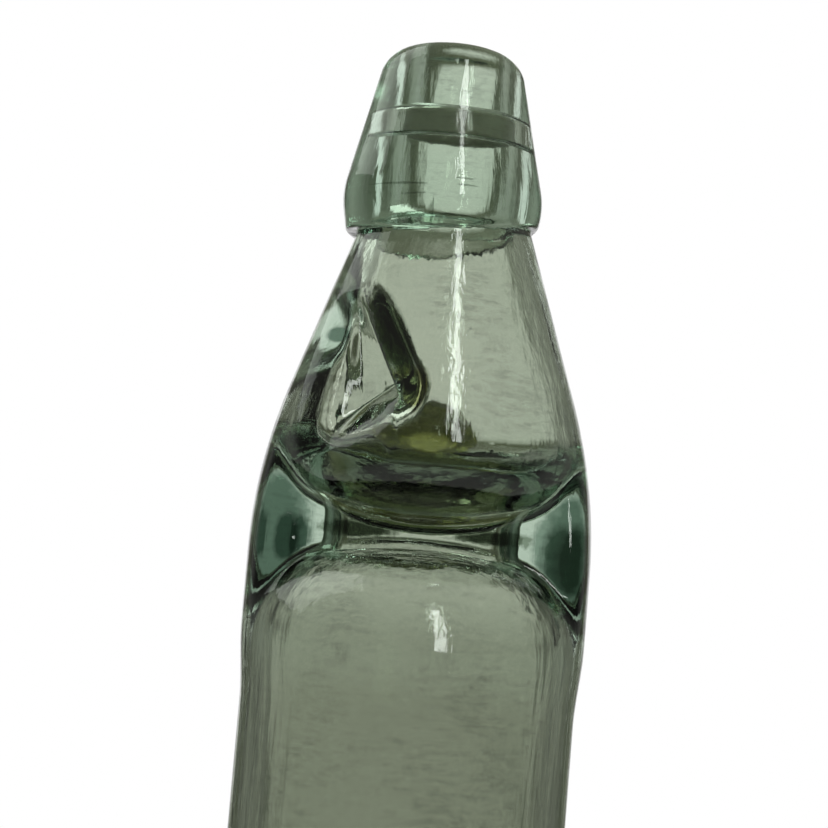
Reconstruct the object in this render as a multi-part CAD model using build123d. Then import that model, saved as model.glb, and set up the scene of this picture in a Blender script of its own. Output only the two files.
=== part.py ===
from build123d import *

import os
from math import cos, radians, sin, sqrt

# Marble stopper bottle, a thick-walled mineral water bottle that closes itself with a glass marble.
#
# The bottle is blown in one piece. Its neck is pinched from the front (-Y) and the back (+Y) into a throat
# narrower than the marble, which leaves a solid web of glass at the left and right. Above the throat is the
# marble chamber, with two slanting dents on its left side (-X). Inside, the dents stand out as two lugs
# that hold the marble back while the bottle pours. The lip is a second gather of glass, laid on the neck once
# the marble is in. It holds a rubber ring in a groove, and gas in the full bottle presses the marble up
# against that ring. At rest the marble lies in the mouth of the throat.
#
# The frame has +Z up along the bottle's axis and its origin at the middle of the base. Lengths are in mm.

# Marble, and what it has to pass or be caught by.
marble_radius = 8.0
marble_clearance = 0.1  # from its seats at both ends of its travel
marble_bore_clearance = 1.1  # in the lip, below the ring
mouth_catch = 0.7  # by which the mouth is narrower than the marble, in radius
ring_catch = 1.8
throat_catch = 2.5

# Heights, from the top down: lip, neck from the lip to the pinch, and the body that takes the rest.
bottle_height = 228.0
lip_height = 32.7
pinch_depth = 84.9  # from the rim to the lowest point under the marble chamber
pinch_gap = 2.9  # between the underside of the chamber and the top of the body, on the axis

# Outer shape of the body.
body_radius = 30.0
panel_inset = 0.9  # the body is drawn in a little under the shoulder
panel_top_drop = 29.0  # from the crown of the shoulder down to the end of the straight panel
panel_blend_height = 14.0
panel_blend_radius = 40.0
heel_radius = 5.0
shoulder_crown_radius = 82.0
shoulder_corner_radius = 11.0

# Outer shape of the neck and the marble chamber.
neck_top_radius = 15.5
neck_cone_height = 43.0  # from the lip down to where the cone would meet the body's own radius
neck_sweep_radius = 95.0
chamber_crown_radius = 51.0
chamber_corner_radius = 7.0

# Pinch: a thin core round the throat, which grows into a thicker web at each side.
core_wall = 4.0
web_hollow_radius = 127.0  # of the pinch's front and back, which are hollow from side to side
web_edge_round = 3.0
throat_half_width = 17.5

# Glass thickness.
body_wall = 3.2
base_wall = 3.5  # over the middle of the push-up
shoulder_wall = 2.4
chamber_wall = 4.5
chamber_floor_wall = 7.6
neck_wall = 3.3
lug_wall = 3.0

# Inside corners and crowns.
body_cavity_heel_radius = 7.0
body_cavity_corner_radius = 8.0
chamber_floor_crown_radius = 65.0
chamber_cavity_corner_radius = 4.0
chamber_cone_height = 37.5  # from the lip down to where the hollow's cone would meet its own radius
chamber_sweep_radius = 45.0

# Base: a flat ring to stand on round a shallow push-up.
rest_ring_width = 6.0
push_up_height = 3.5

# Dents, pressed in with the corner of a tool. Three edges leave the deepest point of each, and every edge has
# an azimuth, from the left side round to the front or back, and an elevation, in degrees.
dent_side = 4.6  # of the deepest point, to the left of the axis
dent_depth = 10.1  # of the deepest point, in front of or behind the axis
dent_drop = 26.6  # of the deepest point, below the lip
dent_crease_way = (19.5, 54.0)
dent_front_way = (86.0, -17.6)
dent_left_way = (37.2, -36.1)
dent_edge_round = 0.8
lug_edge_round = 4.0

# Applied lip.
lip_base_overhang = 1.4  # beyond the neck that it sits on
lip_base_round = 0.8
lip_bulge_overhang = 2.5
lip_bulge_height = 6.0
lip_bulge_round = 12.0
rim_width = 4.6
rim_round_share = 1.1
mouth_edge_round = 0.6
lip_bore_start = 4.0  # above the foot of the lip
lip_flare_round = 6.0

# Groove for the rubber ring.
groove_drop = 12.4  # from the rim to the top of the groove
groove_height = 5.3
groove_ledge = 1.2  # that the ring stands on
groove_corner_share = 0.6

# Rubber ring.
ring_headroom = 0.4
ring_clearance = 0.1
ring_edge_round = 1.0

# One length by which every cutter runs past what it cuts.
overrun = 10.0

# Radii and distances from the axis that follow from the sizes above.
mouth_radius = marble_radius - mouth_catch
rim_radius = mouth_radius + rim_width
lip_bore_radius = marble_radius + marble_bore_clearance
groove_radius = lip_bore_radius + groove_ledge
ring_inner_radius = marble_radius - ring_catch
throat_half_depth = marble_radius - throat_catch
core_half_depth = throat_half_depth + core_wall
panel_radius = body_radius - panel_inset
neck_bore_radius = neck_top_radius - neck_wall

# Levels that follow from the sizes above.
lip_foot_z = bottle_height - lip_height
chamber_bottom_z = bottle_height - pinch_depth
shoulder_top_z = chamber_bottom_z - pinch_gap
panel_top_z = shoulder_top_z - panel_top_drop
cone_start_z = lip_foot_z - neck_cone_height
chamber_cone_start_z = lip_foot_z - chamber_cone_height
chamber_floor_z = chamber_bottom_z + chamber_floor_wall
body_floor_z = push_up_height + base_wall
groove_top_z = bottle_height - groove_drop
groove_bottom_z = groove_top_z - groove_height


def rounded(face, corners):
    """Rounds the corner of a flat outline nearest to each point, by that point's radius."""
    for point, radius in corners:
        corner = face.vertices().sort_by_distance((point[0], point[1], 0))[0]
        face = fillet(corner, radius)
    return face


def outline(points):
    """A flat closed outline through points given as (distance from the axis, height)."""
    return make_face(Polyline(*points, close=True))


def turned(face):
    """The solid that a flat outline sweeps round the bottle's axis."""
    return revolve(Plane.XZ * face, Axis.Z)


def crown_drop(crown_radius, distance):
    """How far a round crown has fallen away at a distance from the axis."""
    return crown_radius - sqrt(crown_radius**2 - distance**2)


def crowned(crown_z, crown_radius, width, end_z):
    """A flat region from the axis out to width, between a round crown at crown_z and a level end."""
    side = 1 if crown_z > end_z else -1
    middle = width / 2
    crown = ThreePointArc(
        (0, crown_z),
        (middle, crown_z - side * crown_drop(crown_radius, middle)),
        (width, crown_z - side * crown_drop(crown_radius, width)),
    )
    sides = Polyline(crown @ 1, (width, end_z), (0, end_z), crown @ 0)
    return make_face(crown + sides)


def envelope_face():
    """Outline of the blown glass as the silhouette shows it, with no pinch."""
    blend_top_z = panel_top_z + panel_blend_height
    face = outline([
        (0, 0),
        (panel_radius, 0),
        (panel_radius, panel_top_z),
        (body_radius, blend_top_z),
        (body_radius, cone_start_z),
        (neck_top_radius, lip_foot_z),
        (0, lip_foot_z),
    ])
    return rounded(face, [
        ((panel_radius, 0), heel_radius),
        ((panel_radius, panel_top_z), panel_blend_radius),
        ((body_radius, blend_top_z), panel_blend_radius),
        ((body_radius, cone_start_z), neck_sweep_radius),
    ])


def body_face():
    """The body alone, closed at the top by the crown of its shoulder."""
    crown = crowned(shoulder_top_z, shoulder_crown_radius, body_radius + overrun, -overrun)
    corner = (body_radius, shoulder_top_z - crown_drop(shoulder_crown_radius, body_radius))
    return rounded(envelope_face() & crown, [(corner, shoulder_corner_radius)])


def chamber_face():
    """The marble chamber and the neck alone, closed below by the chamber's round underside."""
    crown = crowned(chamber_bottom_z, chamber_crown_radius, body_radius + overrun, bottle_height)
    corner = (body_radius, chamber_bottom_z + crown_drop(chamber_crown_radius, body_radius))
    return rounded(envelope_face() & crown, [(corner, chamber_corner_radius)])


def pinch_web():
    """The core round the throat with the web at each side of it."""
    bend = web_hollow_radius + core_half_depth
    plan = Circle(body_radius) - pair(Pos(0, bend) * Circle(web_hollow_radius))
    plan = fillet(plan.vertices(), web_edge_round)
    low_z = shoulder_top_z - crown_drop(shoulder_crown_radius, body_radius) - shoulder_corner_radius
    high_z = chamber_bottom_z + crown_drop(chamber_crown_radius, body_radius) + chamber_corner_radius
    block = Pos(0, 0, low_z) * extrude(plan, amount=high_z - low_z)
    return block & turned(envelope_face())


def body_cavity_face():
    """The hollow that holds the drink."""
    inner_radius = panel_radius - body_wall
    crown_z = shoulder_top_z - shoulder_wall
    face = crowned(crown_z, shoulder_crown_radius - shoulder_wall, inner_radius, body_floor_z)
    corner = (inner_radius, crown_z - crown_drop(shoulder_crown_radius, inner_radius))
    return rounded(face, [
        ((inner_radius, body_floor_z), body_cavity_heel_radius),
        (corner, body_cavity_corner_radius),
    ])


def chamber_cavity_face():
    """The hollow of the marble chamber, open at the lip."""
    low_radius = body_radius - chamber_wall
    side = outline([
        (0, shoulder_top_z - overrun),
        (low_radius, shoulder_top_z - overrun),
        (low_radius, chamber_cone_start_z),
        (neck_bore_radius, lip_foot_z),
        (neck_bore_radius, lip_foot_z + overrun),
        (0, lip_foot_z + overrun),
    ])
    side = rounded(side, [((low_radius, chamber_cone_start_z), chamber_sweep_radius)])
    floor = crowned(chamber_floor_z, chamber_floor_crown_radius, body_radius, bottle_height)
    corner = (low_radius, chamber_floor_z + crown_drop(chamber_floor_crown_radius, low_radius))
    return rounded(side & floor, [(corner, chamber_cavity_corner_radius)])


def throat():
    """The slot through the pinch, narrower than the marble."""
    low_z = shoulder_top_z - shoulder_wall - crown_drop(shoulder_crown_radius, throat_half_width)
    high_z = chamber_floor_z + crown_drop(chamber_floor_crown_radius, throat_half_width)
    slot = SlotOverall(2 * throat_half_width, 2 * throat_half_depth)
    return Pos(0, 0, low_z) * extrude(slot, amount=high_z - low_z)


def way(angles):
    """The direction with an azimuth from the left side to the front, and an elevation."""
    azimuth, elevation = radians(angles[0]), radians(angles[1])
    return Vector(-cos(azimuth) * cos(elevation), -sin(azimuth) * cos(elevation), sin(elevation))


def dent_tool(wall, edge_round):
    """The front dent as a solid, or with the glass thickness added, the lug that it makes inside."""
    deepest = Vector(-dent_side, -dent_depth, lip_foot_z - dent_drop)
    crease, front, left = way(dent_crease_way), way(dent_front_way), way(dent_left_way)
    size = 4 * body_radius
    half_spaces = []
    for first, second in ((crease, front), (front, left), (left, crease)):
        face_plane = Plane(origin=deepest, x_dir=first, z_dir=first.cross(second)).offset(wall)
        half_spaces.append(face_plane * Pos(0, 0, -size / 2) * Box(size, size, size))
    tool = half_spaces[0] & half_spaces[1] & half_spaces[2]
    corner = tool.vertices().sort_by_distance(deepest)[0]
    return fillet(tool.edges().sort_by_distance(corner)[:3], edge_round)


def pair(shape):
    """A shape and its mirror image behind the bottle's middle plane."""
    return shape + mirror(shape, Plane.XZ)


def push_up():
    """The shallow hollow under the base."""
    rim = panel_radius - heel_radius - rest_ring_width
    dome = ThreePointArc((-rim, 0), (0, push_up_height), (rim, 0))
    face = make_face(dome + Line(dome @ 1, dome @ 0))
    half = face & Pos(rim / 2, push_up_height / 2) * Rectangle(rim, push_up_height)
    return turned(half)


def make_glass_bottle():
    """The blown bottle from its base to the foot of the lip."""
    glass = turned(body_face()) + turned(chamber_face()) + pinch_web()
    hollow = turned(chamber_cavity_face()) - pair(dent_tool(lug_wall, lug_edge_round))
    glass = glass - pair(dent_tool(0, dent_edge_round)) - push_up()
    return glass - turned(body_cavity_face()) - throat() - hollow


def make_applied_lip():
    """The lip, with its mouth, the groove for the rubber ring and the bore that the marble rises into."""
    foot_radius = neck_top_radius + lip_base_overhang
    bulge_radius = neck_top_radius + lip_bulge_overhang
    bulge_z = lip_foot_z + lip_bulge_height
    bore_start_z = lip_foot_z + lip_bore_start
    groove_corner_round = groove_ledge * groove_corner_share
    face = outline([
        (neck_bore_radius, lip_foot_z),
        (foot_radius, lip_foot_z),
        (bulge_radius, bulge_z),
        (rim_radius, bottle_height),
        (mouth_radius, bottle_height),
        (mouth_radius, groove_top_z),
        (groove_radius, groove_top_z),
        (groove_radius, groove_bottom_z),
        (lip_bore_radius, groove_bottom_z),
        (lip_bore_radius, bore_start_z),
    ])
    return turned(rounded(face, [
        ((foot_radius, lip_foot_z), lip_base_round),
        ((bulge_radius, bulge_z), lip_bulge_round),
        ((rim_radius, bottle_height), (rim_width - mouth_edge_round) * rim_round_share),
        ((mouth_radius, bottle_height), mouth_edge_round),
        ((groove_radius, groove_top_z), groove_corner_round),
        ((groove_radius, groove_bottom_z), groove_corner_round),
        ((lip_bore_radius, bore_start_z), lip_flare_round),
    ]))


def make_sealing_ring():
    """The rubber ring, standing on the floor of its groove."""
    outer_radius = groove_radius - ring_clearance
    low_z, high_z = groove_bottom_z, groove_top_z - ring_headroom
    corners = [
        (ring_inner_radius, low_z),
        (outer_radius, low_z),
        (outer_radius, high_z),
        (ring_inner_radius, high_z),
    ]
    return turned(rounded(outline(corners), [(corner, ring_edge_round) for corner in corners]))


def marble_rest_z():
    """Height of the marble's centre as it lies on the two long edges of the throat."""
    edge_z = chamber_floor_z + crown_drop(chamber_floor_crown_radius, throat_half_depth)
    return edge_z + sqrt((marble_radius + marble_clearance) ** 2 - throat_half_depth**2)


def marble_sealed_z():
    """Height of the marble's centre as it closes the ring's hole from below."""
    edge_radius = ring_inner_radius + ring_edge_round
    reach = marble_radius + ring_edge_round + marble_clearance
    return groove_bottom_z + ring_edge_round - sqrt(reach**2 - edge_radius**2)


def make_marble():
    """The marble, where it rests in the mouth of the throat."""
    return Pos(0, 0, marble_rest_z()) * Sphere(marble_radius)


os.makedirs("parts", exist_ok=True)
pieces = {
    "glass_bottle": make_glass_bottle(),
    "applied_lip": make_applied_lip(),
    "sealing_ring": make_sealing_ring(),
    "marble": make_marble(),
}
for name, piece in pieces.items():
    export_step(piece, f"parts/{name}.step")
    print(name, "solids", len(piece.solids()), "volume", round(piece.volume))
travel = marble_sealed_z() - marble_rest_z()
print("marble centre at rest", round(marble_rest_z(), 3), "travel", round(travel, 3))
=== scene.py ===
from math import atan2, cos, pi, radians, sin, sqrt

import bmesh
import bpy
import numpy as np
from mathutils import Matrix, Vector


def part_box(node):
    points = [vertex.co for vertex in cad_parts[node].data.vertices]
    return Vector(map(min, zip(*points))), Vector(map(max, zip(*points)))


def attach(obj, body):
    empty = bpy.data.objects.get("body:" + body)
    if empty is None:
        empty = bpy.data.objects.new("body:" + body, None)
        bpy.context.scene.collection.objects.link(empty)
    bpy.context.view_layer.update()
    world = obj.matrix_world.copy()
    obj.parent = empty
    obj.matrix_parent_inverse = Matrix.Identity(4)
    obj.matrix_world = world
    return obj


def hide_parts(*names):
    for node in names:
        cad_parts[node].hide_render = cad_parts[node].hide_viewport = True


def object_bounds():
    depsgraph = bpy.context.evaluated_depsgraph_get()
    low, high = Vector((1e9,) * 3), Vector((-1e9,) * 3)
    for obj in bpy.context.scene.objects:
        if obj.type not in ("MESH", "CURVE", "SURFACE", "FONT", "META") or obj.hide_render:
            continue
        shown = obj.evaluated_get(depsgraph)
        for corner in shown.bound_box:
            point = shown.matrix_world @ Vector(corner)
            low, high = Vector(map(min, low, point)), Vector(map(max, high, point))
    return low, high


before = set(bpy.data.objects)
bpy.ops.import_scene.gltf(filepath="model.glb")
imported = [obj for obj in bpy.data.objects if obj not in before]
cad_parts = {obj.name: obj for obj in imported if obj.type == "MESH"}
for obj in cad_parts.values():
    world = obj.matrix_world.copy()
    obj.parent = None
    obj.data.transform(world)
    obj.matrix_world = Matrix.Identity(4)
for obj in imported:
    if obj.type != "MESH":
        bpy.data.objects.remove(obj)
CAD_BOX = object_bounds()
bpy.context.scene.view_settings.view_transform = "Standard"

# The glass is worked out in millimetres and turned into metres as its mesh is made.
MM = 0.001


def node_span(node):
    """A node's lowest and highest corner, in millimetres."""
    low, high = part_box(node)
    return [v / MM for v in low], [v / MM for v in high]


BOTTLE_HIGH = node_span("glass_bottle")[1]
LIP_LOW, LIP_HIGH = node_span("applied_lip")
RING_LOW, RING_HIGH = node_span("sealing_ring")
MARBLE_LOW, MARBLE_HIGH = node_span("marble")

# Places that the frame gives.
RIM_Z = LIP_HIGH[2]
LIP_FOOT_Z = LIP_LOW[2]
BODY_R = BOTTLE_HIGH[0]
MARBLE_R = (MARBLE_HIGH[0] - MARBLE_LOW[0]) / 2
MARBLE_Z = (MARBLE_HIGH[2] + MARBLE_LOW[2]) / 2

# Outer shape of the body and the neck.
PANEL_INSET = 0.9
PANEL_R = BODY_R - PANEL_INSET
NECK_TOP_R = 15.5
NECK_SLOPE = 0.337
NECK_BLEND = 5.0
MARBLE_REST_RISE = 13.8  # of the marble's middle at rest, over the underside of its chamber
CHAMBER_BOTTOM_Z = MARBLE_Z - MARBLE_REST_RISE
CHAMBER_CROWN_R = 51.0
CHAMBER_CORNER_R = 7.0
PINCH_GAP = 2.9
SHOULDER_TOP_Z = CHAMBER_BOTTOM_Z - PINCH_GAP
SHOULDER_CROWN_R = 82.0
SHOULDER_CORNER_R = 11.0
PANEL_DROP, PANEL_BLEND = 29.0, 14.0
HEEL_R = 5.0
PUSH_UP_RIM_R, PUSH_UP_HEIGHT, PUSH_UP_ROUND = 18.1, 3.5, 1.5

# Pinched throat.
THROAT_CATCH, CORE_WALL = 2.5, 4.0
THROAT_HALF_DEPTH, THROAT_HALF_WIDTH = MARBLE_R - THROAT_CATCH, 17.5
THROAT_RUN_DOWN, THROAT_RUN_UP = 20, 4  # of the slot, into the body and into the chamber
CORE_HALF_DEPTH = THROAT_HALF_DEPTH + CORE_WALL
WEB_HOLLOW_R, WEB_EDGE_ROUND = 127.0, 3.0
PINCH_FILLET = 2.0

# Inside.
BODY_WALL = 3.2
BODY_BORE_R = PANEL_R - BODY_WALL
BODY_FLOOR_Z = 7.0
SHOULDER_WALL, CHAMBER_WALL, CHAMBER_FLOOR_WALL, NECK_WALL = 2.4, 4.5, 7.6, 3.3
BODY_CORNER_R, BODY_FLOOR_CORNER_R = 8.0, 7.0
CHAMBER_SLOPE, CHAMBER_LEAN = 0.355, 0.95
CHAMBER_FLOOR_CROWN_R, CHAMBER_FLOOR_CORNER_R = 65.0, 4.0
THROAT_TOP_FILLET, THROAT_BOTTOM_FILLET = 1.0, 3.0

# Dents: the deepest point as x, depth from the middle plane, and z, and the ways that three edges leave it,
# as azimuths from the left side round to the front or back, and elevations.
DENT_POINT = Vector((-4.6, 10.1, LIP_FOOT_Z - 26.6))
DENT_WAYS = ((19.5, 54.0), (86.0, -17.6), (37.2, -36.1))
DENT_ROUND = 0.8
LUG_WALL, LUG_ROUND = 3.0, 4.0
# The dents' rim: a place on its crisp right edge, as x and drop from the lip, the way from there to the soft
# lower left, where the change starts and how far it runs, and the round on the right and what is added to it.
DENT_RIM_X, DENT_RIM_DROP, DENT_RIM_WAY = -7.2, 21.3, (-0.916, -0.402)
DENT_RIM_START, DENT_RIM_RUN, DENT_RIM_CRISP, DENT_RIM_SOFT = 2, 7, 0.6, 7.0
# The ledge between the lugs, where the left side is thick: its flat face, the foot of that face, the slope
# below it and the round between them.
LEDGE_X, LEDGE_LOW_Z, LEDGE_SLOPE, LEDGE_ROUND = -14.4, LIP_FOOT_Z - 20.8, 1.04, 3.0
LUG_FILLET = 2.0

# Lip.
LIP_FOOT_OVERHANG, LIP_BULGE_OVERHANG, LIP_BULGE_RISE = 1.4, 2.5, 6.0
LIP_FOOT_R, LIP_BULGE_R = NECK_TOP_R + LIP_FOOT_OVERHANG, NECK_TOP_R + LIP_BULGE_OVERHANG
LIP_SHIFT = 1.1  # of the outside, to the left
LIP_FOOT_LIFT, LIP_FOOT_TILT, LIP_FOOT_DIP = 0.6, 1.5, 2.6
RIM_ROUND, LIP_BULGE_BLEND, LIP_BULGE_EASE, LIP_FOOT_ROUND = 4.3, 1.2, 0.3, 0.8
MOUTH_CATCH, LIP_BORE_CLEARANCE, RING_CLEARANCE, RING_HEADROOM = 0.7, 1.1, 0.1, 0.4
MOUTH_R, LIP_BORE_R = MARBLE_R - MOUTH_CATCH, MARBLE_R + LIP_BORE_CLEARANCE
GROOVE_R = RING_HIGH[0] + RING_CLEARANCE
RIM_WALL = 4.6
RIM_R = MOUTH_R + RIM_WALL
GROOVE_TOP_Z, GROOVE_BOTTOM_Z = RING_HIGH[2] + RING_HEADROOM, RING_LOW[2]
GROOVE_ROUND, MOUTH_EDGE_ROUND = 0.7, 0.6
BORE_FLARE_RISE, BORE_FLARE = 4, 0.13
# Heights over the lip's foot where the neck ends inside the lip, and where the neck's hollow ends.
NECK_END_RISE, NECK_HOLLOW_RISE = 2, 1
# A radius beyond all the glass, and the distance that stands for no hollow near by.
CLEAR_R, NO_HOLLOW = 30, 9.0


def round_max(a, b, r):
    """Where two solids overlap, as a distance field, with the edge between them rounded by r."""
    inside = np.minimum(np.maximum(a, b), -r)
    return inside + np.hypot(np.maximum(a + r, 0), np.maximum(b + r, 0))


def round_min(a, b, r):
    """Two solids joined, as a distance field, with a fillet of radius r between them."""
    return -round_max(-a, -b, r)


def soft_step(t):
    t = np.clip(t, 0, 1)
    return t * t * (3 - 2 * t)


def ball(x, y, z, centre_z, r):
    return np.sqrt(x * x + y * y + (z - centre_z) ** 2) - r


def cone_radius(z, low_r, top_r, slope, blend):
    """Radius at height z of an upright wall that bends into a cone narrowing up to the lip."""
    cone = top_r + slope * (LIP_FOOT_Z - z)
    near = np.clip(1 - np.abs(cone - low_r) / blend, 0, 1)
    return np.minimum(cone, low_r) - near * near * blend / 4


def envelope(rho, z):
    """Distance from the silhouette's surface of revolution."""
    panel = soft_step((z - (SHOULDER_TOP_Z - PANEL_DROP)) / PANEL_BLEND)
    low_r = PANEL_R + (BODY_R - PANEL_R) * panel
    radius = cone_radius(z, low_r, NECK_TOP_R, NECK_SLOPE, NECK_BLEND)
    lean = cos(atan2(NECK_SLOPE, 1))
    return (rho - radius) * np.where(z > SHOULDER_TOP_Z, lean, 1.0)


def way(azimuth, elevation):
    a, e = radians(azimuth), radians(elevation)
    return Vector((-cos(a) * cos(e), sin(a) * cos(e), sin(e)))


def dent(x, y, z, inset, r):
    """Distance from the three-sided dents in the neck, set in from their walls and then grown by r."""
    edges = [way(*angles) for angles in DENT_WAYS]
    sides = [edges[(i + 1) % 3].cross(edges[i]).normalized() for i in range(3)]
    sides = [n if n.dot(edges[i - 1]) < 0 else -n for i, n in enumerate(sides)]
    shift = Matrix(sides).inverted() @ Vector((-1, -1, -1))
    apex = DENT_POINT + inset * shift
    q = np.stack([x - apex.x, np.abs(y) - apex.y, z - apex.z])
    flat = q.reshape(3, -1)
    sides, edges = np.array(sides), np.array(edges)
    out = sides @ flat
    nearest = np.linalg.norm(flat, axis=0)
    for n in sides:
        foot = flat - n[:, None] * (n @ flat)
        away = np.abs(n @ flat)
        nearest = np.where((sides @ foot < 1e-6).all(axis=0), np.minimum(nearest, away), nearest)
    for e in edges:
        along = e @ flat
        away = np.linalg.norm(flat - e[:, None] * along, axis=0)
        nearest = np.where(along > 0, np.minimum(nearest, away), nearest)
    away = np.where((out < 0).all(axis=0), out.max(axis=0), nearest)
    return away.reshape(q.shape[1:]) - r


def dent_rim_fillet(x, z):
    """The round at the dent's rim, which is crisp on the right and runs out softly to the lower left."""
    left = DENT_RIM_WAY[0] * (x - DENT_RIM_X) + DENT_RIM_WAY[1] * (z - LIP_FOOT_Z + DENT_RIM_DROP)
    return DENT_RIM_CRISP + DENT_RIM_SOFT * soft_step((left - DENT_RIM_START) / DENT_RIM_RUN)


def glass_outside(x, y, z):
    """Distance from the blown bottle's outer surface, up into the lip."""
    rho = np.hypot(x, y)
    shape = envelope(rho, z)
    shoulder = ball(x, y, z, SHOULDER_TOP_Z - SHOULDER_CROWN_R, SHOULDER_CROWN_R)
    chamber = ball(x, y, z, CHAMBER_BOTTOM_Z + CHAMBER_CROWN_R, CHAMBER_CROWN_R)
    body = round_max(shape, shoulder, SHOULDER_CORNER_R)
    neck = round_max(shape, chamber, CHAMBER_CORNER_R)
    core = np.abs(y) - CORE_HALF_DEPTH - x**2 / (2 * WEB_HOLLOW_R)
    pinch = round_max(core, shape, WEB_EDGE_ROUND)
    glass = np.maximum(round_min(round_min(body, neck, PINCH_FILLET), pinch, PINCH_FILLET), shape)
    glass = round_max(glass, -dent(x, y, z, DENT_ROUND, DENT_ROUND), dent_rim_fillet(x, z))
    glass = round_max(glass, -z, HEEL_R)
    push_up_r = (PUSH_UP_RIM_R**2 + PUSH_UP_HEIGHT**2) / (2 * PUSH_UP_HEIGHT)
    push_up = ball(x, y, z, PUSH_UP_HEIGHT - push_up_r, push_up_r)
    return round_max(glass, -push_up, PUSH_UP_ROUND)


def glass_inside(x, y, z):
    """Distance from the hollow of the blown bottle."""
    rho = np.hypot(x, y)
    crown = ball(x, y, z, SHOULDER_TOP_Z - SHOULDER_CROWN_R, SHOULDER_CROWN_R - SHOULDER_WALL)
    body = round_max(rho - BODY_BORE_R, crown, BODY_CORNER_R)
    body = round_max(body, BODY_FLOOR_Z - z, BODY_FLOOR_CORNER_R)
    floor_z = CHAMBER_BOTTOM_Z + CHAMBER_FLOOR_WALL
    bore = cone_radius(z, BODY_R - CHAMBER_WALL, NECK_TOP_R - NECK_WALL, CHAMBER_SLOPE, NECK_BLEND)
    floor = ball(x, y, z, floor_z + CHAMBER_FLOOR_CROWN_R, CHAMBER_FLOOR_CROWN_R)
    chamber = round_max((rho - bore) * CHAMBER_LEAN, floor, CHAMBER_FLOOR_CORNER_R)
    underside = (LEDGE_LOW_Z - z + LEDGE_SLOPE * (x - LEDGE_X)) / sqrt(1 + LEDGE_SLOPE**2)
    ledge = round_max(x - LEDGE_X, underside, LEDGE_ROUND)
    lugs = round_min(dent(x, y, z, LUG_ROUND - LUG_WALL, LUG_ROUND), ledge, LUG_FILLET)
    chamber = round_max(chamber, -lugs, LUG_FILLET)
    half = THROAT_HALF_WIDTH - THROAT_HALF_DEPTH
    slot = np.hypot(np.maximum(np.abs(x) - half, 0), y) - THROAT_HALF_DEPTH
    slot = np.maximum(slot, np.maximum(SHOULDER_TOP_Z - THROAT_RUN_DOWN - z, z - floor_z - THROAT_RUN_UP))
    return round_min(round_min(body, slot, THROAT_BOTTOM_FILLET), chamber, THROAT_TOP_FILLET)


def lip_outside(x, y, z):
    """Distance from the outer surface of the hand-laid lip, whose lower edge is crooked."""
    x = x + LIP_SHIFT
    rho = np.hypot(x, y)
    foot_z = LIP_FOOT_Z + LIP_FOOT_LIFT + LIP_FOOT_TILT * x / LIP_BULGE_R
    foot_z = foot_z - LIP_FOOT_DIP * (y / LIP_BULGE_R) ** 2
    bulge_z = LIP_FOOT_Z + LIP_BULGE_RISE
    upper = LIP_BULGE_R + (z - bulge_z) * (RIM_R - LIP_BULGE_R) / (RIM_Z - bulge_z)
    lower = LIP_BULGE_R + (z - bulge_z) * (LIP_BULGE_R - LIP_FOOT_R) / LIP_BULGE_RISE
    near = np.clip(1 - np.abs(upper - lower) / LIP_BULGE_BLEND, 0, 1)
    side = rho - (np.minimum(upper, lower) - near * near * LIP_BULGE_EASE)
    lip = round_max(side, z - RIM_Z, RIM_ROUND)
    return round_max(lip, foot_z - z, LIP_FOOT_ROUND)


def lip_inside(x, y, z):
    """Distance from the mouth, the ring's groove and the bore below it."""
    rho = np.hypot(x, y)
    mouth = np.maximum(rho - MOUTH_R, GROOVE_BOTTOM_Z - z)
    middle = (GROOVE_TOP_Z + GROOVE_BOTTOM_Z) / 2
    half = (GROOVE_TOP_Z - GROOVE_BOTTOM_Z) / 2
    groove = round_max(rho - GROOVE_R, np.abs(z - middle) - half, GROOVE_ROUND)
    flare = LIP_BORE_R + np.maximum(LIP_FOOT_Z + BORE_FLARE_RISE - z, 0) ** 2 * BORE_FLARE
    bore = np.maximum(rho - flare, np.maximum(z - middle, LIP_FOOT_Z - NECK_HOLLOW_RISE - z))
    hole = np.minimum(np.minimum(mouth, groove), bore)
    return round_min(hole, np.maximum(RIM_Z - z, rho - CLEAR_R), MOUTH_EDGE_ROUND)


def glass(x, y, z):
    """Distance from the surface of all the glass in one: negative in the glass, positive in the air."""
    neck = np.maximum(glass_outside(x, y, z), z - LIP_FOOT_Z - NECK_END_RISE)
    outside = np.minimum(neck, lip_outside(x, y, z))
    hollow = np.where(z > LIP_FOOT_Z + NECK_HOLLOW_RISE, NO_HOLLOW, glass_inside(x, y, z))
    return np.maximum(outside, -np.minimum(hollow, lip_inside(x, y, z)))


# Finding the surface: rounds of moving points onto it, the farthest move in each, the step for its slope,
# the least square of a slope, and how near two points are one, in metres.
SURFACE_STEPS, FARTHEST_MOVE, SLOPE_STEP, LEAST_STEEP, SAME_POINT = 4, 0.5, 0.02, 0.05, 1e-7


def levels(*spans):
    """Grid levels from (end, step) spans, from the first end up."""
    values = [spans[0][0]]
    for end, step in spans[1:]:
        count = max(1, round((end - values[-1]) / step))
        start = values[-1]
        values += [start + (end - start) * (i + 1) / count for i in range(count)]
    return np.array(values)


def edge_faces(start, end, cells, corners):
    """A face round every grid edge that crosses the surface, from the four cells beside the edge."""
    i, j, k = np.nonzero(start != end)
    quad = np.stack([cells[i + a, j + b, k + c] for a, b, c in corners], axis=1)
    return np.where(start[i, j, k][:, None], quad, quad[:, ::-1])


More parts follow.
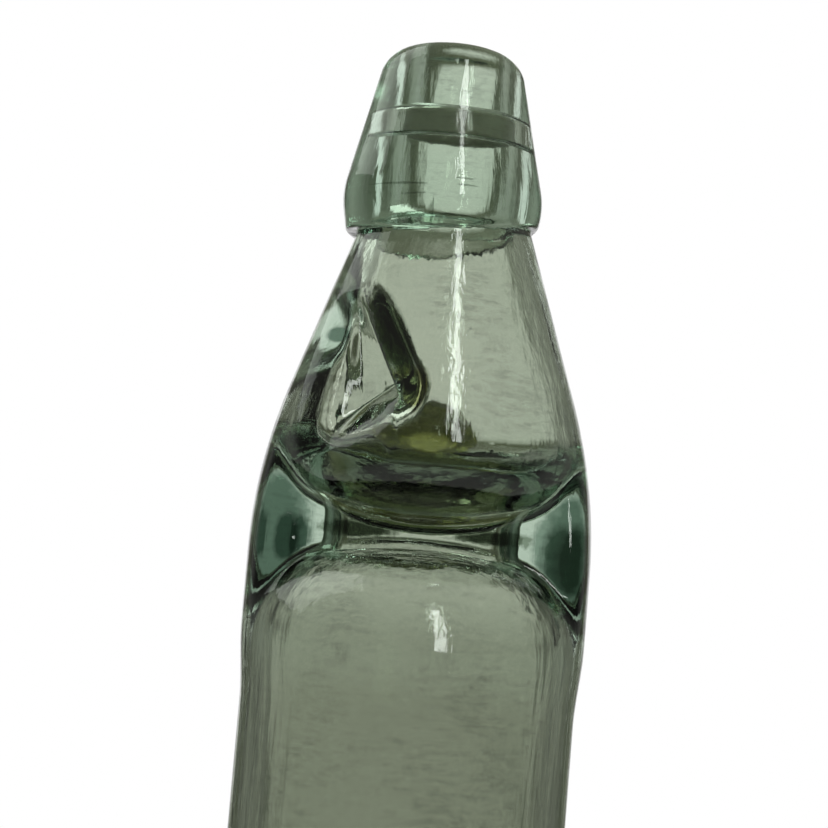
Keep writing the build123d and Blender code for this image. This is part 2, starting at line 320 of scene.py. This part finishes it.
def surface_mesh(name, field, radii, columns, heights):
    """The mesh where a distance field is zero, found on a round grid and then moved onto the surface."""
    angles = np.arange(columns) * 2 * pi / columns
    r, a, h = np.meshgrid(radii, angles, heights, indexing="ij")
    value = field(r * np.cos(a), r * np.sin(a), h)
    value = np.concatenate([value, value[:, :1]], axis=1)
    solid = value < 0
    nr, na, nh = solid.shape
    # Every cell that the surface passes through holds one vertex, at the mean of its edges' crossings.
    total = np.zeros((nr - 1, na - 1, nh - 1, 3))
    count = np.zeros((nr - 1, na - 1, nh - 1))
    for axis in range(3):
        others = [k for k in range(3) if k != axis]
        for p in (0, 1):
            for q in (0, 1):
                first = [None] * 3
                first[axis] = slice(0, -1)
                first[others[0]] = slice(p, solid.shape[others[0]] - 1 + p)
                first[others[1]] = slice(q, solid.shape[others[1]] - 1 + q)
                second = list(first)
                second[axis] = slice(1, None)
                v0, v1 = value[tuple(first)], value[tuple(second)]
                cross = (v0 < 0) != (v1 < 0)
                t = np.where(cross, v0 / np.where(cross, v0 - v1, 1.0), 0.0)
                count += cross
                total[..., axis] += np.where(cross, t, 0)
                total[..., others[0]] += np.where(cross, p, 0)
                total[..., others[1]] += np.where(cross, q, 0)
    used = count > 0
    index = np.full(used.shape, -1, np.int64)
    index[used] = np.arange(used.sum())
    cells = np.argwhere(used)
    place = cells + total[used] / count[used][:, None]
    radius = np.interp(place[:, 0], np.arange(nr), radii)
    angle = place[:, 1] * 2 * pi / columns
    height = np.interp(place[:, 2], np.arange(nh), heights)
    points = np.stack([radius * np.cos(angle), radius * np.sin(angle), height], axis=1)
    ring = np.concatenate([index[:, -1:], index], axis=1)
    faces = np.concatenate([
        edge_faces(solid[:-1, :-1, 1:-1], solid[1:, :-1, 1:-1], ring,
                   ((0, 0, 0), (0, 1, 0), (0, 1, 1), (0, 0, 1))),
        edge_faces(solid[1:-1, :-1, 1:-1], solid[1:-1, 1:, 1:-1], index,
                   ((0, 0, 0), (0, 0, 1), (1, 0, 1), (1, 0, 0))),
        edge_faces(solid[1:-1, :-1, :-1], solid[1:-1, :-1, 1:], ring,
                   ((0, 0, 0), (1, 0, 0), (1, 1, 0), (0, 1, 0))),
    ])
    for _ in range(SURFACE_STEPS):
        points = onto_surface(field, points)
    # The innermost cells meet on the axis, where they are drawn into one point for each millimetre of height.
    inner = cells[:, 0] == 0
    for start in np.unique(np.round(points[inner, 2])):
        group = inner & (np.abs(points[:, 2] - start) < 1.0)
        points[group] = [0, 0, points[group, 2].mean()]
    mesh = bpy.data.meshes.new(name)
    mesh.from_pydata((points * MM).tolist(), [], faces.tolist())
    tidy = bmesh.new()
    tidy.from_mesh(mesh)
    bmesh.ops.remove_doubles(tidy, verts=tidy.verts, dist=SAME_POINT)
    bmesh.ops.dissolve_degenerate(tidy, edges=tidy.edges, dist=SAME_POINT)
    bmesh.ops.recalc_face_normals(tidy, faces=tidy.faces)
    tidy.to_mesh(mesh)
    tidy.free()
    mesh.shade_smooth()
    points = np.zeros(len(mesh.vertices) * 3)
    mesh.vertices.foreach_get("co", points)
    normals = gradient(field, points.reshape(-1, 3) / MM)
    normals /= np.maximum(np.linalg.norm(normals, axis=1), 1e-6)[:, None]
    mesh.normals_split_custom_set_from_vertices(normals.tolist())
    piece = bpy.data.objects.new(name, mesh)
    bpy.context.scene.collection.objects.link(piece)
    return piece


def gradient(field, p):
    x, y, z = p.T
    step = SLOPE_STEP
    return np.stack([
        field(x + step, y, z) - field(x - step, y, z),
        field(x, y + step, z) - field(x, y - step, z),
        field(x, y, z + step) - field(x, y, z - step),
    ], axis=1) / (2 * step)


def onto_surface(field, p):
    """Points moved along the field's slope towards its zero, but never farther than the farthest move."""
    slope = gradient(field, p)
    steep = np.maximum((slope**2).sum(axis=1), LEAST_STEEP)
    move = -field(*p.T)[:, None] * slope / steep[:, None]
    size = np.linalg.norm(move, axis=1)
    return p + move * np.minimum(1, FARTHEST_MOVE / np.maximum(size, 1e-9))[:, None]


# The grid that finds the glass: columns round the axis, and levels outwards and upwards as (end, step).
GRID_COLUMNS = 168
GRID_RADII = levels((0, 0), (32, 0.55))
GRID_HEIGHTS = levels((-1.2, 0), (112, 1.5), (LIP_FOOT_Z - 6, 0.75), (RIM_Z + 1.5, 0.5))


def glass_piece():
    """The bottle and its lip as one piece of glass, as they are once the lip has been fused on."""
    piece = surface_mesh("glass", glass, GRID_RADII, GRID_COLUMNS, GRID_HEIGHTS)
    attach(piece, "bottle")
    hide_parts("glass_bottle", "applied_lip")
    return piece


# Tints in the glass, each over those before it: a darker one over the body, painted shade where the glass
# shows dark refractions (the webs, under the pinch, the near dent and the crescent on the chamber floor), a
# paler one over the lip, and the lip's cracks. Each is an ellipse, given by x and z of its middle, its half
# width and half height, all in millimetres, its lean in degrees, its raggedness, its tint and whether the front
# alone has it.
# The teal, olive, web and under-pinch tints are painted shade; the crack tint is the lip's cracks.
TEAL_PAINTED_SHADE, OLIVE_PAINTED_SHADE, CRACK = (0.12, 0.17, 0.13), (0.15, 0.16, 0.055), (0.22, 0.25, 0.20)
WEB_LEFT_PAINTED_SHADE, WEB_RIGHT_PAINTED_SHADE, UNDER_PINCH_PAINTED_SHADE = (0.008, 0.02, 0.012), (0.012, 0.025, 0.015), (0.14, 0.17, 0.12)
TINTS_AND_PAINTED_SHADE = (
    # A darker tint over the body.
    (0.0, 54.0, 300.0, 80.0, 0, 0.0, (0.48, 0.50, 0.425), False),
    # Painted shade: the dark teal webs beside the pinch, with darker cores.
    (-26.0, 141.0, 6.5, 12.0, 0, 0.5, TEAL_PAINTED_SHADE, False), (26.5, 141.0, 6.0, 12.0, 0, 0.5, TEAL_PAINTED_SHADE, False),
    (-22.8, 139.8, 2.2, 4.6, 0, 0.5, WEB_LEFT_PAINTED_SHADE, False), (26.8, 139.5, 4.2, 7.0, 0, 0.5, WEB_RIGHT_PAINTED_SHADE, False),
    # Painted shade in the gap under the pinch, front and back.
    (-11.5, CHAMBER_BOTTOM_Z - 0.8, 6.8, 1.6, 0, 1.6, UNDER_PINCH_PAINTED_SHADE, False),
    (12.5, CHAMBER_BOTTOM_Z - 0.6, 6.5, 1.3, 0, 1.6, UNDER_PINCH_PAINTED_SHADE, False),
    # Painted shade in the near dent: a near-black patch and a teal one.
    (-16.9, 174.7, 2.3, 1.5, 0, 0.4, (0.05, 0.08, 0.06), True),
    (-15.0, 182.0, 1.5, 1.6, 0, 0.4, TEAL_PAINTED_SHADE, True),
    # Painted shade: the dark crescent on the chamber floor.
    (0.0, CHAMBER_BOTTOM_Z + 5.2, 20.0, 2.8, 0, 0.3, OLIVE_PAINTED_SHADE, False),
    # Painted shade down the dent's right wall, with dark olive below it.
    (-7.2, 174.0, 2.6, 9.8, 23.7, 0.2, (0.035, 0.055, 0.02), True),
    (-3.2, 165.5, 2.4, 4.0, -10.0, 0.3, (0.12, 0.12, 0.03), True),
    # A paler tint over the lip.
    (0.0, LIP_FOOT_Z + 17.0, 60.0, 17.5, 0, 0.0, (0.75, 0.785, 0.71), False),
    (-8.1, LIP_FOOT_Z + 5.6, 5.2, 0.2, 0, 1.5, CRACK, True),
    (-2.8, LIP_FOOT_Z + 1.8, 0.2, 2.6, 0, 1.5, CRACK, True),
    (2.2, LIP_FOOT_Z + 7.0, 1.6, 0.18, 0, 1.5, CRACK, True),
)


# Of an ellipse's size: how far out its tint is full, and where it has faded away.
SPOT_CORE, SPOT_EDGE = 0.75, 1.1


class Nodes:
    """Short calls for building one material's node tree."""

    def __init__(self, name, tree=None):
        self.material = None
        if tree is None:
            self.material = bpy.data.materials.new(name)
            self.material.use_nodes = True
            tree = self.material.node_tree
        self.tree = tree
        self.tree.nodes.clear()

    def add(self, kind, inputs=None, **settings):
        node = self.tree.nodes.new(kind)
        for key, value in settings.items():
            setattr(node, key, value)
        for key, value in (inputs or {}).items():
            if isinstance(value, bpy.types.NodeSocket):
                self.tree.links.new(value, node.inputs[key])
            else:
                node.inputs[key].default_value = value
        return node

    def math(self, operation, a, b=0.0, c=0.0):
        return self.add("ShaderNodeMath", {0: a, 1: b, 2: c}, operation=operation).outputs[0]

    def noise(self, place, scale, detail):
        inputs = {"Vector": place, "Scale": scale, "Detail": detail}
        return self.add("ShaderNodeTexNoise", inputs).outputs["Fac"]

    def stretch(self, place, upward):
        return self.add("ShaderNodeMapping", {"Vector": place, "Scale": (1, 1, upward)}).outputs[0]

    def span(self, value, low, high, to_low=0.0, to_high=1.0, **settings):
        """The value carried over from one range to another, and held inside that."""
        inputs = {"Value": value, "From Min": low, "From Max": high, "To Min": to_low, "To Max": to_high}
        return self.add("ShaderNodeMapRange", inputs, **settings).outputs[0]

    def mix_color(self, factor, a, b):
        mix = self.add("ShaderNodeMix", {"Factor": factor, "A": a, "B": b}, data_type="RGBA")
        return mix.outputs["Result"]

    def mix_shader(self, factor, a, b):
        return self.add("ShaderNodeMixShader", {0: factor, 1: a.outputs[0], 2: b.outputs[0]})

    def seen_ground(self, share):
        """1 for the camera's own rays, and the share for the rays that glass and rubber send on."""
        path = self.add("ShaderNodeLightPath").outputs
        sent_on = self.math("MAXIMUM", path["Is Glossy Ray"], path["Is Transmission Ray"])
        return self.math("MAXIMUM", path["Is Camera Ray"], self.math("MULTIPLY", sent_on, share))

    def ramp(self, factor, *stops):
        node = self.add("ShaderNodeValToRGB", {"Fac": factor})
        elements = node.color_ramp.elements
        while len(elements) < len(stops):
            elements.new(0.5)
        for element, (at, color) in zip(elements, stops):
            element.position = at
            element.color = (*color, 1)
        return node.outputs["Color"]


def tint_with_painted_shade(n, place, tint):
    """The tint with the table's ellipses in it, as seen from the front: other tints, the lip's cracks and
    painted shade.
    """
    ragged = n.noise(place, scale=520.0, detail=3.0)
    x, y, z = n.add("ShaderNodeSeparateXYZ", {0: place}).outputs
    front = n.math("LESS_THAN", y, 0.0)
    rest = (*tint, 1)
    for at_x, at_z, half_width, half_height, lean, raggedness, color, front_only in TINTS_AND_PAINTED_SHADE:
        c, s = cos(radians(lean)), sin(radians(lean))
        wide, high = half_width * MM, half_height * MM
        dx, dz = n.math("SUBTRACT", x, at_x * MM), n.math("SUBTRACT", z, at_z * MM)
        across = n.math("MULTIPLY_ADD", dx, c / wide, n.math("MULTIPLY", dz, s / wide))
        up = n.math("MULTIPLY_ADD", dx, -s / high, n.math("MULTIPLY", dz, c / high))
        size = n.math("SQRT", n.math("MULTIPLY_ADD", across, across, n.math("MULTIPLY", up, up)))
        size = n.math("MULTIPLY_ADD", ragged, raggedness, size)
        inside = n.span(size, SPOT_CORE + raggedness / 2, SPOT_EDGE + raggedness / 2, to_low=1.0, to_high=0.0)
        if front_only:
            inside = n.math("MULTIPLY", inside, front)
        rest = n.mix_color(inside, rest, (*color, 1))
    return rest


GLASS_IOR = 1.51
# The relief of the glass: how high its draw lines and waves are, how deep its seeds, and how their size varies.
STREAK_HEIGHT, WAVE_HEIGHT, SEED_DEPTH, SEED_SPREAD = 0.8, 2.0, 0.35, 0.55
# The wear: how much the scuffs gather in patches, and what is left of the tint in a scuff and in a seed.
PATCH_SHARE, SCUFF_SHADE, SEED_SHADE = 0.5, 0.74, 0.35


def glass_material(name, tint, density, color, pits):
    """Clear old glass: it takes in red and blue, its surface has draw lines and fine wear, and its colour holds
    painted shade.
    """
    n = Nodes(name)
    place = n.add("ShaderNodeTexCoord").outputs["Object"]
    waves = n.noise(n.stretch(place, upward=0.25), scale=90.0, detail=2.0)
    wear = n.noise(place, scale=700.0, detail=5.0)
    rough = n.ramp(wear, (0.45, (0.0, 0.0, 0.0)), (0.75, (pits, pits, pits)))
    streaks = n.noise(n.stretch(place, upward=0.12), scale=420.0, detail=4.0)
    seeds = n.add("ShaderNodeTexVoronoi", {"Vector": place, "Scale": 230.0, "Randomness": 1.0}).outputs
    far = n.math("ADD", seeds["Distance"], n.math("MULTIPLY", seeds["Color"], SEED_SPREAD))
    hole = n.span(far, 0.08, 0.3, to_low=-SEED_DEPTH, to_high=0.0)
    lines = n.math("MULTIPLY_ADD", streaks, STREAK_HEIGHT, n.math("MULTIPLY", waves, WAVE_HEIGHT))
    height = n.math("ADD", lines, hole)
    bump = n.add("ShaderNodeBump", {"Strength": 0.25, "Distance": 0.0006, "Height": height}).outputs[0]
    level = n.stretch(place, upward=3.5)
    scuffs = n.add("ShaderNodeTexNoise", {"Vector": level, "Scale": 240.0, "Detail": 8.0, "Roughness": 0.75})
    patches = n.noise(place, scale=70.0, detail=3.0)
    rubbed = n.math("MULTIPLY_ADD", patches, PATCH_SHARE, scuffs.outputs["Fac"])
    scuffed = n.span(rubbed, 0.80, 0.92, to_low=1.0, to_high=SCUFF_SHADE)
    worn = n.math("MULTIPLY", scuffed, n.span(far, 0.10, 0.16, to_low=SEED_SHADE, to_high=1.0))
    # The base colour holds the tints and painted shade of the ellipses, darkened in scuffs and seeds.
    color_with_painted_shade = n.add("ShaderNodeVectorMath", {0: tint_with_painted_shade(n, place, tint), "Scale": worn}, operation="SCALE")
    shader = n.add("ShaderNodeBsdfPrincipled", {
        "Base Color": color_with_painted_shade.outputs[0], "Roughness": rough, "IOR": GLASS_IOR,
        "Transmission Weight": 1.0, "Normal": bump,
    })
    volume = n.add("ShaderNodeVolumeAbsorption", {"Color": (*color, 1), "Density": density})
    n.add("ShaderNodeOutputMaterial", {"Surface": shader.outputs[0], "Volume": volume.outputs[0]})
    return n.material


def rubber_material():
    """Old pale rubber, bloomed and a little cracked."""
    n = Nodes("aged_rubber")
    place = n.add("ShaderNodeTexCoord").outputs["Object"]
    blotch = n.noise(place, scale=260.0, detail=4.0)
    grain = n.noise(place, scale=2600.0, detail=3.0)
    color = n.ramp(blotch, (0.3, (0.46, 0.48, 0.39)), (0.7, (0.62, 0.63, 0.53)))
    bump = n.add("ShaderNodeBump", {"Strength": 0.4, "Distance": 0.0001, "Height": grain}).outputs[0]
    shader = n.add("ShaderNodeBsdfPrincipled", {
        "Base Color": color, "Roughness": 0.62, "Normal": bump,
    })
    n.add("ShaderNodeOutputMaterial", {"Surface": shader.outputs[0]})
    return n.material


def dress_node(node, material):
    piece = bpy.data.objects[node]
    piece.data.materials.clear()
    piece.data.materials.append(material)


# The way to the white ground behind the bottle, as the camera looks, and how close to that way, as a cosine,
# the glass begins to show the ground and shows it in full.
BACKDROP_WAY, BACKDROP_START, BACKDROP_FULL = (0.0, 0.997, 0.073), 0.90, 0.96


def studio():
    """A white ground for the camera, and round it a grey room whose sides are darker than its back."""
    world = bpy.data.worlds.new("studio")
    bpy.context.scene.world = world
    world.use_nodes = True
    n = Nodes("", world.node_tree)
    direction = n.add("ShaderNodeTexCoord").outputs["Generated"]
    x, y, z = n.add("ShaderNodeSeparateXYZ", {0: direction}).outputs
    # 0 is straight behind the bottle, 0.25 to its right, 0.5 behind the camera.
    turn = n.math("FRACT", n.math("DIVIDE", n.math("ARCTAN2", x, y), 2 * pi))
    round_about = n.ramp(
        turn,
        (0.00, (0.22, 0.23, 0.17)), (0.05, (0.16, 0.17, 0.12)), (0.10, (0.10, 0.11, 0.08)),
        (0.15, (0.35, 0.37, 0.32)), (0.21, (0.40, 0.42, 0.38)), (0.28, (0.08, 0.09, 0.08)),
        (0.38, (0.06, 0.06, 0.05)), (0.5, (0.09, 0.09, 0.08)), (0.72, (0.14, 0.15, 0.13)),
        (0.79, (0.42, 0.44, 0.40)), (0.85, (0.35, 0.37, 0.32)), (0.90, (0.10, 0.11, 0.08)),
        (0.95, (0.16, 0.17, 0.12)),
    )
    sky = n.mix_color(n.math("SMOOTH_MAX", z, 0.0, 0.1), round_about, (0.30, 0.31, 0.26, 1))
    room = n.add("ShaderNodeBackground", {"Color": sky, "Strength": 1.0})
    white = n.add("ShaderNodeBackground", {"Color": (1, 1, 1, 1), "Strength": 1.0})
    # The glass shows the white ground where it stands, which is behind the bottle.
    behind = n.add("ShaderNodeVectorMath", {0: direction, 1: BACKDROP_WAY}, operation="DOT_PRODUCT")
    ground = n.span(behind.outputs["Value"], BACKDROP_START, BACKDROP_FULL)
    both = n.mix_shader(n.seen_ground(ground), room, white)
    n.add("ShaderNodeOutputWorld", {"Surface": both.outputs[0]})


LIGHT_COLOR = (0.93, 1.0, 0.94)


def softbox(name, width, height, azimuth, elevation, distance, watts, aim_z):
    """A soft light, with its azimuth from the camera's side to the right, aimed at aim_z on the axis."""
    light = bpy.data.lights.new(name, "AREA")
    light.shape = "RECTANGLE"
    light.size, light.size_y = width, height
    light.energy = watts
    light.color = LIGHT_COLOR
    lamp = bpy.data.objects.new(name, light)
    bpy.context.scene.collection.objects.link(lamp)
    a, e = radians(azimuth), radians(elevation)
    aim = Vector((0, 0, aim_z))
    lamp.location = aim + distance * Vector((sin(a) * cos(e), -cos(a) * cos(e), sin(e)))
    lamp.rotation_euler = (aim - lamp.location).to_track_quat("-Z", "Y").to_euler()


# The floor, in metres: its radius, its gap under the bottle, where it starts to fade and where it is gone.
FLOOR_R, FLOOR_GAP, FLOOR_FADE_START, FLOOR_FADE_END = 0.3, 0.0001, 0.12, 0.29
# How white the floor is beside its diffuse colour, and the share of that white which the glass shows.
FLOOR_WHITE, FLOOR_WHITE_IN_GLASS = 0.6, 0.3


def floor_disc():
    """A pale floor that keeps the bottle's shadow and fades out into the white ground."""
    mesh = bpy.data.meshes.new("floor")
    disc = bmesh.new()
    bmesh.ops.create_circle(disc, cap_ends=True, segments=96, radius=FLOOR_R)
    disc.to_mesh(mesh)
    disc.free()
    piece = bpy.data.objects.new("floor", mesh)
    piece.location.z = CAD_BOX[0][2] - FLOOR_GAP
    bpy.context.scene.collection.objects.link(piece)
    n = Nodes("floor")
    place = n.add("ShaderNodeTexCoord").outputs["Object"]
    far = n.add("ShaderNodeVectorMath", {0: place}, operation="LENGTH").outputs["Value"]
    fade = n.span(far, FLOOR_FADE_START, FLOOR_FADE_END, interpolation_type="SMOOTHSTEP")
    pale = n.add("ShaderNodeBsdfDiffuse", {"Color": (0.86, 0.86, 0.84, 1)})
    white = n.add("ShaderNodeEmission", {"Color": (1, 1, 1, 1), "Strength": 1.0})
    paler = n.mix_shader(n.math("MULTIPLY", n.seen_ground(FLOOR_WHITE_IN_GLASS), FLOOR_WHITE), pale, white)
    both = n.mix_shader(fade, paler, n.add("ShaderNodeBsdfTransparent"))
    n.add("ShaderNodeOutputMaterial", {"Surface": both.outputs[0]})
    mesh.materials.append(n.material)


# The camera: half the picture's width and the focal length, in pixels, then its place and its turn.
HALF_PICTURE, CAMERA_FOCAL = 414, 1720
CAMERA_PLACE, CAMERA_PITCH, CAMERA_ROLL = (-0.003, -0.303, 0.141), 4.19, 4.85


def camera():
    """Low in front of the bottle, looking a little up, and tipped so that it leans to the right."""
    lens = bpy.data.cameras.new("camera")
    lens.sensor_fit = "HORIZONTAL"
    lens.angle = 2 * atan2(HALF_PICTURE, CAMERA_FOCAL)
    view = bpy.data.objects.new("camera", lens)
    bpy.context.scene.collection.objects.link(view)
    turn = Matrix.Rotation(radians(90 + CAMERA_PITCH), 4, "X") @ Matrix.Rotation(radians(CAMERA_ROLL), 4, "Z")
    view.matrix_world = Matrix.Translation(CAMERA_PLACE) @ turn
    bpy.context.scene.camera = view


bottle = glass_piece()
bottle.data.materials.append(glass_material(
    "old_aqua_glass", tint=(0.66, 0.69, 0.61), density=30.0, color=(0.4, 0.7, 0.55), pits=0.14))
dress_node("marble", glass_material(
    "olive_glass", tint=(0.88, 0.89, 0.74), density=130.0, color=(0.55, 0.56, 0.12), pits=0.3))
dress_node("sealing_ring", rubber_material())
studio()
softbox("window", width=0.10, height=0.8, azimuth=19, elevation=25, distance=0.9, watts=2.4, aim_z=0.17)
softbox("fill", width=0.8, height=0.8, azimuth=-110, elevation=45, distance=1.0, watts=2.2, aim_z=0.15)
floor_disc()
camera()
